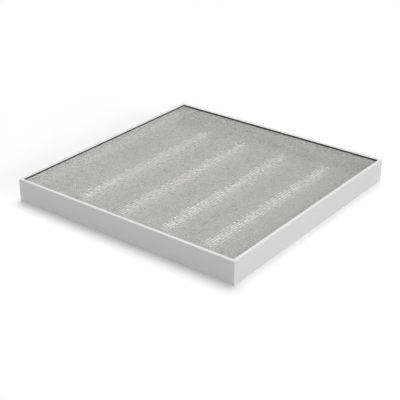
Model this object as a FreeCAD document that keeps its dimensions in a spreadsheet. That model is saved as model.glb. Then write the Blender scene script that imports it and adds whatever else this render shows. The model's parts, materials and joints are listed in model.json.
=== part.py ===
"""A square recessed ceiling light for a 600 mm grid: mitred rails, a prismatic sheet and LED boards.

The light lies on its back. The origin is the centre of that back, +Z points out of the lit face, the
gear channel runs along X at the -Y edge, and the LED boards run along Y.
"""
import FreeCAD, Part

import math
import os
from types import SimpleNamespace

import Sketcher

Vector = FreeCAD.Vector

# Driving dimensions, in millimetres.
SIZES = {
    # the whole light
    "panel_side": 595.0,
    "panel_depth": 54.0,
    # section of the side rails
    "wall_thick": 1.4,
    "lip_width": 7.2,
    "lip_thick": 1.0,
    "ledge_reach": 9.2,
    "ledge_thick": 1.2,
    "slot_height": 11.0,
    "slot_return": 2.5,
    "foot_width": 2.0,
    "foot_height": 2.0,
    # corner keys in the rails' slots
    "key_thick": 5.8,
    "key_leg": 45.0,
    "key_clearance": 0.2,
    "key_chamfer": 1.5,
    "key_screw_place": 30.0,
    "key_screw_depth": 7.0,
    # lit face
    "gasket_thick": 3.0,
    "gasket_setback": 0.3,
    "gasket_clearance": 0.2,
    "sheet_thick": 2.0,
    "sheet_clearance": 1.0,
    # back plate
    "back_recess": 9.7,
    "plate_thick": 0.8,
    "plate_clearance": 0.3,
    "plate_corner": 3.0,
    "plate_screw_inset": 5.5,
    "plate_screw_pitch": 250.0,
    "rib_width": 12.0,
    "rib_depth": 3.0,
    "rib_inset": 26.0,
    "screw_radius": 1.45,
    "screw_head_radius": 2.6,
    "screw_head_height": 1.8,
    "screw_chamfer": 0.5,
    "screw_tip": 2.2,
    "thread_clearance": 0.05,
    "hole_clearance": 0.25,
    # gear channel over the opening in the back plate
    "channel_thick": 0.8,
    "channel_clearance": 0.5,
    "channel_width": 36.0,
    "channel_height": 19.5,
    "channel_left_margin": 49.0,
    "channel_right_margin": 24.0,
    "channel_flange": 10.0,
    "channel_round": 2.0,
    "channel_screw_pitch": 130.0,
    "channel_end_screw_pitch": 20.0,
    "opening_left_rim": 10.0,
    "opening_right_reach": 7.0,
    "opening_front_rim": 3.0,
    "opening_back_rim": 1.0,
    # hinged cover of the gear channel
    "cover_thick": 0.8,
    "cover_gap": 0.3,
    "cover_side_lap": 4.0,
    "cover_front_lap": 4.0,
    "cover_back_lap": 2.7,
    "cover_pull": 3.0,
    "tab_height": 3.0,
    "tab_width": 20.0,
    "tab_inset": 18.0,
    "tab_setback": 1.2,
    "hinge_spread": 240.0,
    "knuckle_radius": 2.25,
    "knuckle_gap": 0.3,
    "middle_knuckle": 14.0,
    "end_knuckle": 12.0,
    "pin_radius": 1.25,
    "pin_clearance": 0.05,
    "leaf_thick": 0.8,
    "leaf_reach": 14.0,
    "leaf_rivet_place": 10.5,
    "leaf_rivet_spread": 26.0,
    # LED boards
    "board_pitch": 117.7,
    "board_width": 22.0,
    "board_near_gap": 6.2,
    "board_far_gap": 49.5,
    "board_thick": 1.0,
    "board_rivet_inset": 17.0,
    "board_rivet_side": 7.5,
    "led_width": 3.5,
    "led_length": 2.8,
    "led_height": 0.7,
    "led_near_gap": 3.0,
    "led_far_gap": 6.0,
    "rivet_radius": 1.5,
    "rivet_head_radius": 2.6,
    "rivet_head_height": 1.1,
    "rivet_tail": 1.0,
    "connector_width": 14.0,
    "connector_length": 8.0,
    "connector_height": 5.0,
    "connector_inset": 3.0,
    # driver on the roof of the gear channel
    "driver_length": 250.0,
    "driver_width": 28.0,
    "driver_height": 15.0,
    "driver_wall": 1.5,
    "driver_lid": 2.0,
    "driver_rim": 1.5,
    "driver_standoff": 29.0,
    "driver_foot": 10.0,
    "driver_foot_width": 20.0,
    "driver_round": 2.0,
    "circuit_thick": 1.6,
    "circuit_post": 2.5,
    "post_inset": 10.0,
    "circuit_clearance": 0.4,
    "transformer_length": 24.0,
    "transformer_width": 19.0,
    "transformer_height": 8.2,
    "capacitor_radius": 4.0,
    "capacitor_length": 18.0,
    "capacitor_pitch": 9.0,
    "capacitor_inset": 20.0,
    # terminal block
    "terminal_length": 26.0,
    "terminal_height": 17.0,
    "terminal_standoff": 35.0,
    "terminal_edge": 1.5,
    "pole_pitch": 8.0,
    "button_length": 6.0,
    "button_width": 4.6,
    "button_height": 6.0,
    "button_proud": 1.5,
    "button_travel": 1.2,
    "button_clearance": 0.15,
    "button_place": 4.0,
    "port_radius": 1.9,
    "port_depth": 4.0,
    "port_level": 6.2,
    "terminal_screw_shift": 4.0,
    # earth stud between terminal block and supply entry
    "earth_standoff": 22.0,
    "earth_radius": 2.0,
    "earth_length": 9.0,
    "nut_flat": 3.5,
    "nut_height": 3.2,
    "lug_thick": 0.8,
    "lug_radius": 4.0,
    "barrel_radius": 1.7,
    "barrel_length": 5.0,
    # leads
    "lead_radius": 1.2,
    "lead_pitch": 5.0,
    "lead_level": 9.0,
    "lead_straight": 9.0,
    "wire_radius": 0.7,
    "wire_pitch": 2.8,
    "wire_bend": 4.2,
    "jumper_near": 7.0,
    "jumper_step": 2.5,
    "lead_grommet_radius": 5.0,
    "lead_grommet_bore": 2.4,
    # supply cable entry
    "entry_standoff": 29.0,
    "entry_radius": 11.0,
    "entry_bore": 5.0,
    "grommet_lip": 2.0,
    "grommet_rim": 2.4,
    # brackets for hanging wires
    "hanger_inset": 85.0,
    "hanger_width": 16.0,
    "hanger_foot": 12.0,
    "hanger_tab": 13.0,
    "hanger_thick": 1.2,
    "hanger_drop": 7.5,
    "hanger_hole_radius": 2.25,
}

RAIL_TURNS = {"front": 0, "right": 90, "back": 180, "left": 270}
PLATE_SCREWS_PER_SIDE = 3
CHANNEL_SCREWS = 4
BOARDS = 4
BOARD_RIVET_ROWS = 3
LEDS_PER_BOARD = 22
RIBS = 3
POLES = 3
NUT_SIDES = 6
# Grommets and capacitors are drawn with flats.
ROUND_SIDES = 16
# A grommet's flats stand this much inside its round hole, so that its corners stay inside too.
GROMMET_FIT = 0.98
# Small screws, rivets, wires and their holes are drawn with flats; each wire bend has a few chords.
SMALL_ROUND_SIDES = 8
BEND_CHORDS = 2
# A bend takes up at most this share of a straight run beside it.
BEND_SHARE = 0.45
# The kind of corner with which a wire's solid is pulled round a path.
MITRED = 1
# A wire's volume may differ from its section times its length by this share.
VOLUME_SHARE = 0.01
# Lengths below this count as none.
TINY = 1e-6


class Size:
    """A length made from the sheet's cells, kept both as a formula and as its present value."""

    def __init__(self, formula, value):
        self.formula = formula
        self.value = value

    def join(self, sign, other, value):
        return Size("(%s %s %s)" % (self.formula, sign, other.formula), value)

    def __add__(self, other):
        other = as_size(other)
        return self.join("+", other, self.value + other.value)

    def __sub__(self, other):
        other = as_size(other)
        return self.join("-", other, self.value - other.value)

    def __mul__(self, other):
        other = as_size(other)
        return self.join("*", other, self.value * other.value)

    def __truediv__(self, other):
        other = as_size(other)
        return self.join("/", other, self.value / other.value)

    def __neg__(self):
        return self * -1


def as_size(number):
    """Returns a plain number as a Size, and a Size as it is."""
    if isinstance(number, Size):
        return number
    return Size("(%r)" % float(number), float(number))


size = SimpleNamespace(**{name: Size("Sizes." + name, value) for name, value in SIZES.items()})

# Places that several pieces share, worked out from the driving dimensions.
half = size.panel_side / 2
sheet_top = size.panel_depth - size.lip_thick - size.gasket_thick
sheet_bottom = sheet_top - size.sheet_thick
slot_top = sheet_bottom - size.ledge_thick
slot_bottom = slot_top - size.slot_height
slot_inside = size.ledge_reach - size.ledge_thick
plate_bottom = size.back_recess
plate_top = plate_bottom + size.plate_thick
ledge_top = plate_top + size.ledge_thick
key_start = size.wall_thick + size.key_clearance
key_middle = key_start + size.key_thick / 2
channel_front = -(half - size.ledge_reach - size.channel_clearance)
channel_inner_front = channel_front + size.channel_thick
channel_inner_back = channel_inner_front + size.channel_width
channel_back = channel_inner_back + size.channel_thick
channel_middle = (channel_inner_front + channel_inner_back) / 2
first_board = size.board_pitch * ((1 - BOARDS) / 2)
lead_grommet_place = first_board - size.wire_pitch
driver_left = lead_grommet_place + size.driver_standoff
driver_right = driver_left + size.driver_length
driver_middle = (driver_left + driver_right) / 2
terminal_left = driver_right + size.terminal_standoff
terminal_right = terminal_left + size.terminal_length
earth_place = terminal_right + size.earth_standoff
entry_place = earth_place + size.entry_standoff
channel_left = driver_left - size.channel_left_margin
channel_right = entry_place + size.channel_right_margin
channel_length = channel_right - channel_left
roof_under = plate_top + size.channel_height
roof_top = roof_under + size.channel_thick
opening_front = channel_inner_front + size.opening_front_rim
opening_back = channel_inner_back - size.opening_back_rim
opening_left = channel_left + size.opening_left_rim
opening_right = earth_place + size.opening_right_reach
cover_top = plate_bottom - size.cover_gap
cover_bottom = cover_top - size.cover_thick
cover_front = opening_front - size.cover_front_lap
cover_back = opening_back + size.cover_back_lap
cover_left = opening_left - size.cover_side_lap
cover_right = opening_right + size.cover_side_lap
cover_middle = (cover_left + cover_right) / 2
hinge_places = [cover_middle - size.hinge_spread / 2, cover_middle + size.hinge_spread / 2]
hinge_level = cover_top - size.knuckle_radius
hinge_line = cover_back + size.knuckle_radius + size.cover_gap
hinge_length = size.middle_knuckle + (size.end_knuckle + size.knuckle_gap) * 2
board_top = plate_top + size.board_thick
board_near_end = channel_back + size.channel_flange + size.board_near_gap
board_far_end = half - size.board_far_gap
board_places = [first_board + size.board_pitch * number for number in range(BOARDS)]
connector_front = board_near_end + size.connector_inset
wire_level = board_top + size.connector_height / 2
driver_bottom = roof_under - size.driver_height
circuit_level = roof_under - size.driver_wall - size.circuit_post
lead_level = roof_under - size.lead_level
terminal_width = size.pole_pitch * POLES + size.terminal_edge * 2
terminal_bottom = roof_under - size.terminal_height
port_level = roof_under - size.port_level
earth_line = channel_middle + size.pole_pitch
earth_level = roof_under - size.barrel_radius
barrel_start = earth_place - size.lug_radius
barrel_end = barrel_start - size.barrel_length
screw_hole = size.screw_radius + size.hole_clearance
thread_hole = size.screw_radius + size.thread_clearance
rivet_hole = size.rivet_radius + size.hole_clearance


# Sketches and features.

def new_body(doc, label):
    """Starts a body under the name of its sub-part."""
    body = doc.addObject("PartDesign::Body", label)
    body.Label = label
    return body


def new_sketch(body, name, role, level=0):
    """Attaches a sketch to one of its own body's origin planes, raised from it by level."""
    sketch = body.newObject("Sketcher::SketchObject", body.Label + "_" + name)
    plane = [feature for feature in body.Origin.OriginFeatures if feature.Role == role][0]
    sketch.AttachmentSupport = [(plane, "")]
    sketch.MapMode = "FlatFace"
    sketch.setExpression("AttachmentOffset.Base.z", as_size(level).formula)
    return sketch


def fix_point(sketch, element, vertex, x, y):
    """Ties one point of a sketch to its two distances from the sketch's origin."""
    for kind, distance in (("DistanceX", as_size(x)), ("DistanceY", as_size(y))):
        constraint = Sketcher.Constraint(kind, -1, 1, element, vertex, distance.value)
        number = sketch.addConstraint(constraint)
        sketch.setExpression("Constraints[%d]" % number, distance.formula)


def fix_radius(sketch, element, radius):
    """Ties a circle's or an arc's radius to the sheet."""
    number = sketch.addConstraint(Sketcher.Constraint("Radius", element, radius.value))
    sketch.setExpression("Constraints[%d]" % number, radius.formula)


def draw_outline(sketch, points):
    """Draws a closed outline of straight lines through the points."""
    corners = [(as_size(x), as_size(y)) for x, y in points]
    first = sketch.GeometryCount
    count = len(corners)
    for index, (x, y) in enumerate(corners):
        next_x, next_y = corners[(index + 1) % count]
        start = Vector(x.value, y.value, 0)
        end = Vector(next_x.value, next_y.value, 0)
        sketch.addGeometry(Part.LineSegment(start, end), False)
    for index, (x, y) in enumerate(corners):
        following = first + (index + 1) % count
        sketch.addConstraint(Sketcher.Constraint("Coincident", first + index, 2, following, 1))
        fix_point(sketch, first + index, 1, x, y)


def draw_rectangle(sketch, low_x, high_x, low_y, high_y):
    """Draws a rectangle between its limits."""
    draw_outline(sketch, [(low_x, low_y), (high_x, low_y), (high_x, high_y), (low_x, high_y)])


def draw_circles(sketch, places, radius):
    """Draws one circle of the radius at each place."""
    for x, y in places:
        centre = Vector(as_size(x).value, as_size(y).value, 0)
        circle = Part.Circle(centre, Vector(0, 0, 1), radius.value)
        element = sketch.addGeometry(circle, False)
        fix_point(sketch, element, 3, x, y)
        fix_radius(sketch, element, radius)


def draw_polygon(sketch, x, y, inner_radius, sides):
    """Draws a regular polygon whose flats lie at the inner radius from its centre."""
    corner = inner_radius / math.cos(math.pi / sides)
    turns = [math.pi * (2 * side + 1) / sides for side in range(sides)]
    draw_outline(sketch, [(corner * math.cos(turn) + x, corner * math.sin(turn) + y)
                          for turn in turns])


def draw_rib(sketch, x, low_y, high_y, reach):
    """Draws a long rib along Y with cut corners."""
    inner = reach / 2
    draw_outline(sketch, [
        (x - inner, low_y), (x + inner, low_y), (x + reach, low_y + inner),
        (x + reach, high_y - inner), (x + inner, high_y), (x - inner, high_y),
        (x - reach, high_y - inner), (x - reach, low_y + inner)])


def add_pad(sketch, length, reverse=False, both_ways=False):
    """Raises a sketch into a solid, along its normal unless reversed or centred."""
    body = sketch.getParentGeoFeatureGroup()
    pad = body.newObject("PartDesign::Pad", sketch.Name + "_pad")
    pad.Profile = sketch
    pad.setExpression("Length", length.formula)
    pad.Reversed = reverse
    if both_ways:
        pad.SideType = "Symmetric"
    return pad


def add_pocket(sketch, depth=None, reverse=False, both_ways=False):
    """Cuts a sketch out of its body, right through if no depth is given, and proves that it cut."""
    body = sketch.getParentGeoFeatureGroup()
    body.Document.recompute()
    volume = body.Shape.Volume
    pocket = body.newObject("PartDesign::Pocket", sketch.Name + "_pocket")
    pocket.Profile = sketch
    if depth is None:
        pocket.Type = "ThroughAll"
    else:
        pocket.setExpression("Length", depth.formula)
    pocket.Reversed = reverse
    if both_ways:
        pocket.SideType = "Symmetric"
    body.Document.recompute()
    if not body.Shape.Volume < volume:
        raise RuntimeError(sketch.Name + " cuts nothing")
    return pocket


def place_set(x, y, *steps, turned=False):
    """Names a set of places: the first one, the steps that repeat it, and whether all four sides
    have it. A step is an axis, a spacing and a count."""
    return SimpleNamespace(x=as_size(x), y=as_size(y), steps=steps, turned=turned)


def repeat(body, features, places):
    """Repeats features of a body over a set of places."""
    if not places.steps and not places.turned:
        return
    axes = {feature.Role: feature for feature in body.Origin.OriginFeatures}
    name = features[0].Name
    whole = body.newObject("PartDesign::MultiTransform", name + "_repeat")
    whole.Originals = features
    parts = []
    for role, spacing, count in places.steps:
        row = body.newObject("PartDesign::LinearPattern", name + "_row")
        row.Direction = (axes[role], [""])
        row.Mode = "Spacing"
        row.setExpression("Offset", spacing.formula)
        row.Occurrences = count
        parts.append(row)
    if places.turned:
        ring = body.newObject("PartDesign::PolarPattern", name + "_ring")
        ring.Axis = (axes["Z_Axis"], [""])
        ring.Angle = 360
        ring.Occurrences = len(RAIL_TURNS)
        parts.append(ring)
    whole.Transformations = parts
    body.Tip = whole


def dress_edges(body, kind, radius, chosen):
    """Rounds or chamfers the edges of the body for which chosen(edge) is true."""
    body.Document.recompute()
    base = body.Tip
    names = ["Edge%d" % (index + 1) for index, edge in enumerate(base.Shape.Edges) if chosen(edge)]
    feature = body.newObject("PartDesign::" + kind, base.Name + "_" + kind.lower())
    feature.Base = (base, names)
    feature.setExpression("Radius" if kind == "Fillet" else "Size", radius.formula)
    body.Tip = feature
    return feature


def upright(edge):
    """Tells whether an edge runs along Z."""
    box = edge.BoundBox
    return max(box.XLength, box.YLength) < TINY < box.ZLength


def at_level(level):
    """Returns a test for edges that lie flat at the level."""
    def lies_there(edge):
        box = edge.BoundBox
        return abs(box.ZMin - level.value) < TINY and abs(box.ZMax - level.value) < TINY
    return lies_there


def add_box(doc, label, low, spans):
    """Makes a plain block from its low corner and its three spans."""
    box = doc.addObject("Part::Box", label)
    box.Label = label
    for name, span in zip(("Length", "Width", "Height"), spans):
        box.setExpression(name, span.formula)
    for axis, place in zip("xyz", low):
        box.setExpression("Placement.Base." + axis, as_size(place).formula)
    return box


def spread(count, pitch):
    """Returns evenly pitched offsets about zero."""
    return [pitch * (index - (count - 1) / 2) for index in range(count)]


def add_holes(body, name, level, sets, radius, depth=None, reverse=True):
    """Cuts small holes at the sets of places, from the level upwards unless reverse is false."""
    for number, places in enumerate(sets):
        sketch = new_sketch(body, "%s_%d" % (name, number), "XY_Plane", level)
        draw_polygon(sketch, places.x, places.y, radius, SMALL_ROUND_SIDES)
        repeat(body, [add_pocket(sketch, depth, reverse)], places)


def add_fasteners(doc, label, sets, seat, head_radius, head_height, shank_radius, shank_length,
                  head_up=False):
    """Makes one screw or rivet at each place of the sets, with its head against the seat."""
    body = new_body(doc, label)
    for number, places in enumerate(sets):
        head = new_sketch(body, "head_%d" % number, "XY_Plane", seat)
        draw_polygon(head, places.x, places.y, head_radius, SMALL_ROUND_SIDES)
        head_pad = add_pad(head, head_height, reverse=not head_up)
        shank = new_sketch(body, "shank_%d" % number, "XY_Plane", seat)
        draw_polygon(shank, places.x, places.y, shank_radius, SMALL_ROUND_SIDES)
        shank_pad = add_pad(shank, shank_length, reverse=head_up)
        repeat(body, [head_pad, shank_pad], places)


# Places of the fasteners, which the pieces they hold share.

def plate_screw_places(turned=True):
    first = size.plate_screw_pitch * ((1 - PLATE_SCREWS_PER_SIDE) / 2)
    row = ("X_Axis", size.plate_screw_pitch, PLATE_SCREWS_PER_SIDE)
    return [place_set(first, size.plate_screw_inset - half, row, turned=turned)]


def key_screw_places(turned=True):
    apart = size.panel_side - size.key_screw_place * 2
    return [place_set(apart / -2, key_middle - half, ("X_Axis", apart, 2), turned=turned)]


def channel_screw_places():
    beside = size.channel_flange / 2
    first = (channel_left + channel_right - size.channel_screw_pitch * (CHANNEL_SCREWS - 1)) / 2
    back_row = ("X_Axis", size.channel_screw_pitch, CHANNEL_SCREWS)
    end_rows = ("X_Axis", channel_length + size.channel_flange, 2)
    end_pairs = ("Y_Axis", size.channel_end_screw_pitch, 2)
    return [place_set(first, channel_back + beside, back_row),
            place_set(channel_left - beside, channel_middle - size.channel_end_screw_pitch / 2,
                      end_rows, end_pairs)]


def board_rivet_step():
    """The step from one rivet of a board to the next."""
    run = board_far_end - board_near_end - size.board_rivet_inset * 2
    return ("Y_Axis", run / (BOARD_RIVET_ROWS - 1), BOARD_RIVET_ROWS)


def board_rivet_places():
    return [place_set(first_board + size.board_rivet_side, board_near_end + size.board_rivet_inset,
                      board_rivet_step(), ("X_Axis", size.board_pitch, BOARDS))]


def hanger_rivet_places():
    corner = size.hanger_inset - half
    return [place_set(corner, corner, turned=True)]


def leaf_rivet_places():
    return [place_set(hinge_places[0] - size.leaf_rivet_spread / 2, hinge_line + size.leaf_rivet_place,
                      ("X_Axis", size.leaf_rivet_spread, 2), ("X_Axis", size.hinge_spread, 2))]


def driver_screw_places():
    return [place_set(driver_left - size.driver_foot / 2, channel_middle,
                      ("X_Axis", size.driver_length + size.driver_foot, 2))]


def terminal_screw_places():
    middle = (terminal_left + terminal_right) / 2
    return [place_set(middle + size.terminal_screw_shift, channel_middle)]


# Frame of the lit face.

def rail_outline():
    """Section of a side rail: outer wall, lip, sheet ledge, key slot, plate ledge and foot."""
    ledge_end = slot_top - size.slot_return
    return [
        (0, 0),
        (0, size.panel_depth),
        (size.lip_width, size.panel_depth),
        (size.lip_width, size.panel_depth - size.lip_thick),
        (size.wall_thick, size.panel_depth - size.lip_thick),
        (size.wall_thick, sheet_bottom),
        (size.ledge_reach, sheet_bottom),
        (size.ledge_reach, ledge_end),
        (slot_inside, ledge_end),
        (slot_inside, slot_top),
        (size.wall_thick, slot_top),
        (size.wall_thick, slot_bottom),
        (slot_inside, slot_bottom),
        (slot_inside, slot_bottom + size.slot_return),
        (size.ledge_reach, slot_bottom + size.slot_return),
        (size.ledge_reach, slot_bottom - size.ledge_thick),
        (size.wall_thick, slot_bottom - size.ledge_thick),
        (size.wall_thick, ledge_top),
        (size.ledge_reach, ledge_top),
        (size.ledge_reach, plate_top),
        (size.wall_thick, plate_top),
        (size.wall_thick, size.foot_height),
        (size.foot_width, size.foot_height),
        (size.foot_width, 0),
    ]


def make_rail(doc, side, turn):
    """One side rail: the section pulled along the side, mitred at both ends and drilled."""
    body = new_body(doc, "rail_" + side)
    section = new_sketch(body, "section", "YZ_Plane")
    draw_outline(section, [(as_size(inward) - half, level) for inward, level in rail_outline()])
    add_pad(section, size.panel_side, both_ways=True)
    mitre = new_sketch(body, "mitre", "XY_Plane")
    outside = half + size.wall_thick
    inside = half - size.ledge_reach - size.wall_thick
    for end in (-1, 1):
        draw_outline(mitre, [(outside * end, -outside), (inside * end, -inside),
                             (outside * end, -inside)])
    add_pocket(mitre, reverse=True)
    add_holes(body, "plate_screw", plate_top, plate_screw_places(turned=False), thread_hole,
              size.ledge_thick)
    add_holes(body, "key_screw", slot_bottom - size.ledge_thick, key_screw_places(turned=False),
              screw_hole, size.ledge_thick)
    body.Placement = FreeCAD.Placement(Vector(), FreeCAD.Rotation(Vector(0, 0, 1), turn))


def make_corner_key(doc, number, turn):
    """One L-shaped key that joins two rails, drilled for its two screws."""
    body = new_body(doc, "corner_key_%d" % number)
    plan = new_sketch(body, "plan", "XY_Plane", slot_bottom + size.key_clearance)
    start = key_start - half
    inner = start + size.key_thick
    end = start + size.key_leg
    draw_outline(plan, [(start, start), (end, start), (end, inner),
                        (inner, inner), (inner, end), (start, end)])
    add_pad(plan, size.slot_height - size.key_clearance * 2)
    outer_corner = start.value

    def at_corner(edge):
        return upright(edge) and max(edge.BoundBox.XMax, edge.BoundBox.YMax) < outer_corner + TINY

    dress_edges(body, "Chamfer", size.key_chamfer, at_corner)
    place = size.key_screw_place - half
    middle = key_middle - half
    add_holes(body, "screw_hole", slot_bottom + size.key_clearance,
              [place_set(place, middle), place_set(middle, place)], thread_hole)
    body.Placement = FreeCAD.Placement(Vector(), FreeCAD.Rotation(Vector(0, 0, 1), turn))


def make_gasket(doc, side, turn):
    """One black foam strip between a rail's lip and the sheet; each strip butts on the next."""
    body = new_body(doc, "gasket_" + side)
    plan = new_sketch(body, "plan", "XY_Plane", sheet_top)
    outer = half - size.wall_thick - size.gasket_clearance
    inner = half - size.lip_width + size.gasket_setback
    draw_rectangle(plan, -outer, inner, -outer, -inner)
    add_pad(plan, size.gasket_thick)
    body.Placement = FreeCAD.Placement(Vector(), FreeCAD.Rotation(Vector(0, 0, 1), turn))


def make_diffuser(doc):
    """The clear prismatic sheet, without its fine pyramids."""
    body = new_body(doc, "diffuser")
    plan = new_sketch(body, "plan", "XY_Plane", sheet_bottom)
    reach = half - size.wall_thick - size.sheet_clearance
    draw_rectangle(plan, -reach, reach, -reach, reach)
    add_pad(plan, size.sheet_thick)


# Back plate and gear channel.

def make_back_plate(doc):
    """The sheet-steel back with its pressed ribs, the gear opening and all its holes."""
    body = new_body(doc, "back_plate")
    plan = new_sketch(body, "plan", "XY_Plane", plate_bottom)
    reach = half - size.foot_width - size.plate_clearance
    draw_rectangle(plan, -reach, reach, -reach, reach)
    add_pad(plan, size.plate_thick)
    dress_edges(body, "Chamfer", size.plate_corner, upright)
    first_rib = size.board_pitch * ((1 - RIBS) / 2)
    rib_low = board_near_end + size.rib_inset
    rib_high = board_far_end - size.rib_inset
    reach = size.rib_width / 2
    ridge = new_sketch(body, "rib_outside", "XY_Plane", plate_bottom)
    draw_rib(ridge, first_rib, rib_low, rib_high, reach)
    ridge_pad = add_pad(ridge, size.rib_depth, reverse=True)
    groove = new_sketch(body, "rib_inside", "XY_Plane", plate_top)
    draw_rib(groove, first_rib, rib_low + size.plate_thick, rib_high - size.plate_thick,
             reach - size.plate_thick)
    groove_pocket = add_pocket(groove, size.rib_depth)
    repeat(body, [ridge_pad, groove_pocket],
           place_set(first_rib, rib_low, ("X_Axis", size.board_pitch, RIBS)))
    opening = new_sketch(body, "gear_opening", "XY_Plane", plate_bottom)
    draw_rectangle(opening, opening_left, opening_right, opening_front, opening_back)
    draw_circles(opening, [(entry_place, channel_middle)], size.entry_radius)
    add_pocket(opening, reverse=True)
    add_holes(body, "screw_hole", plate_bottom, plate_screw_places() + channel_screw_places(),
              screw_hole)
    add_holes(body, "rivet_hole", plate_bottom,
              board_rivet_places() + hanger_rivet_places() + leaf_rivet_places(), rivet_hole)


def make_gear_channel(doc):
    """The folded steel trough over the gear opening, with flanges on three sides."""
    body = new_body(doc, "gear_channel")
    flange = new_sketch(body, "flange", "XY_Plane", plate_top)
    flange_left = channel_left - size.channel_flange
    flange_right = channel_right + size.channel_flange
    flange_back = channel_back + size.channel_flange
    draw_rectangle(flange, flange_left, flange_right, channel_front, flange_back)
    add_pad(flange, size.channel_thick)
    trough = new_sketch(body, "trough", "XY_Plane", plate_top)
    draw_rectangle(trough, channel_left, channel_right, channel_front, channel_back)
    add_pad(trough, size.channel_height + size.channel_thick)

    def long_fold(edge):
        return at_level(roof_top)(edge) and edge.BoundBox.XLength > edge.BoundBox.YLength

    dress_edges(body, "Fillet", size.channel_round, long_fold)
    hollow = new_sketch(body, "hollow", "XY_Plane", plate_top)
    thick = size.channel_thick
    draw_rectangle(hollow, channel_left + thick, channel_right - thick,
                   channel_inner_front, channel_inner_back)
    add_pocket(hollow, size.channel_height, reverse=True)
    add_holes(body, "flange_hole", plate_top, channel_screw_places(), thread_hole, thick)
    add_holes(body, "roof_hole", roof_under, driver_screw_places() + terminal_screw_places(),
              thread_hole, thick)
    add_holes(body, "stud_hole", roof_under, [place_set(earth_place, earth_line)],
              size.earth_radius, thick)
    wall_hole = new_sketch(body, "lead_hole", "XZ_Plane", -channel_inner_back)
    draw_circles(wall_hole, [(lead_grommet_place, lead_level)], size.lead_grommet_radius)
    add_pocket(wall_hole, size.channel_thick, reverse=False)


# Hinged cover.

def add_knuckles(body, places, length, bore):
    """Rolls a knuckle round the hinge line at each place along it."""
    for number, place in enumerate(places):
        roll = new_sketch(body, "knuckle_%d" % number, "YZ_Plane", place)
        draw_circles(roll, [(hinge_line, hinge_level)], size.knuckle_radius)
        add_pad(roll, length, both_ways=True)
        hole = new_sketch(body, "bore_%d" % number, "YZ_Plane", place)
        draw_circles(hole, [(hinge_line, hinge_level)], bore)
        add_pocket(hole, length, both_ways=True)


def make_gear_cover(doc):
    """The hinged cover: a plate with a pull edge, two locating tabs and one knuckle per hinge."""
    body = new_body(doc, "gear_cover")
    plan = new_sketch(body, "plan", "XY_Plane", cover_bottom)
    draw_rectangle(plan, cover_left, cover_right, cover_front, cover_back)
    add_pad(plan, size.cover_thick)
    pull = new_sketch(body, "pull", "XY_Plane", cover_bottom)
    draw_rectangle(pull, cover_left, cover_right, cover_front, cover_front + size.cover_thick)
    add_pad(pull, size.cover_pull, reverse=True)
    tabs = new_sketch(body, "tabs", "XY_Plane", cover_top)
    tab_front = opening_front + size.tab_setback
    for x in (opening_left + size.tab_inset, opening_right - size.tab_inset):
        draw_rectangle(tabs, x - size.tab_width / 2, x + size.tab_width / 2,
                       tab_front, tab_front + size.cover_thick)
    add_pad(tabs, size.tab_height)
    tongues = new_sketch(body, "tongues", "XY_Plane", cover_bottom)
    for x in hinge_places:
        draw_rectangle(tongues, x - size.middle_knuckle / 2, x + size.middle_knuckle / 2,
                       cover_back - size.cover_thick, hinge_line)
    add_pad(tongues, size.cover_thick)
    add_knuckles(body, hinge_places, size.middle_knuckle, size.pin_radius + size.pin_clearance)


def make_hinge_leaf(doc, side, hinge):
    """One fixed leaf: a plate under the back plate with a knuckle at each end."""
    body = new_body(doc, "hinge_leaf_" + side)
    plan = new_sketch(body, "plan", "XY_Plane", plate_bottom)
    left = hinge - hinge_length / 2
    right = hinge + hinge_length / 2
    gap_left = hinge - size.middle_knuckle / 2 - size.knuckle_gap
    gap_right = hinge + size.middle_knuckle / 2 + size.knuckle_gap
    clear = hinge_line + size.knuckle_radius + size.knuckle_gap
    end = hinge_line + size.leaf_reach
    draw_outline(plan, [(left, hinge_line), (gap_left, hinge_line), (gap_left, clear),
                        (gap_right, clear), (gap_right, hinge_line), (right, hinge_line),
                        (right, end), (left, end)])
    add_pad(plan, size.leaf_thick, reverse=True)
    ends = (left + size.end_knuckle / 2, right - size.end_knuckle / 2)
    add_knuckles(body, ends, size.end_knuckle, size.pin_radius)
    rivets = place_set(hinge - size.leaf_rivet_spread / 2, hinge_line + size.leaf_rivet_place,
                       ("X_Axis", size.leaf_rivet_spread, 2))
    add_holes(body, "rivet_hole", plate_bottom - size.leaf_thick, [rivets], rivet_hole)


def make_hinge_pin(doc, side, hinge):
    """One hinge pin along X."""
    body = new_body(doc, "hinge_pin_" + side)
    section = new_sketch(body, "section", "YZ_Plane", hinge)
    draw_circles(section, [(hinge_line, hinge_level)], size.pin_radius)
    add_pad(section, hinge_length, both_ways=True)


# LED boards.

def make_board(doc, number, x):
    """One aluminium board with its rivet holes."""
    body = new_body(doc, "led_board_%d" % number)
    plan = new_sketch(body, "plan", "XY_Plane", plate_top)
    draw_rectangle(plan, x - size.board_width / 2, x + size.board_width / 2,
                   board_near_end, board_far_end)
    add_pad(plan, size.board_thick)
    rivets = place_set(x + size.board_rivet_side, board_near_end + size.board_rivet_inset,
                       board_rivet_step())
    add_holes(body, "rivet_hole", plate_top, [rivets], rivet_hole)


def make_emitters(doc, number, x):
    """The row of LED packages on one board."""
    body = new_body(doc, "led_emitters_%d" % number)
    plan = new_sketch(body, "package", "XY_Plane", board_top)
    first = connector_front + size.connector_length + size.led_near_gap
    pitch = (board_far_end - size.led_far_gap - first) / (LEDS_PER_BOARD - 1)
    draw_rectangle(plan, x - size.led_width / 2, x + size.led_width / 2,
                   first - size.led_length / 2, first + size.led_length / 2)
    package = add_pad(plan, size.led_height)
    repeat(body, [package], place_set(x, first, ("Y_Axis", pitch, LEDS_PER_BOARD)))


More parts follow.
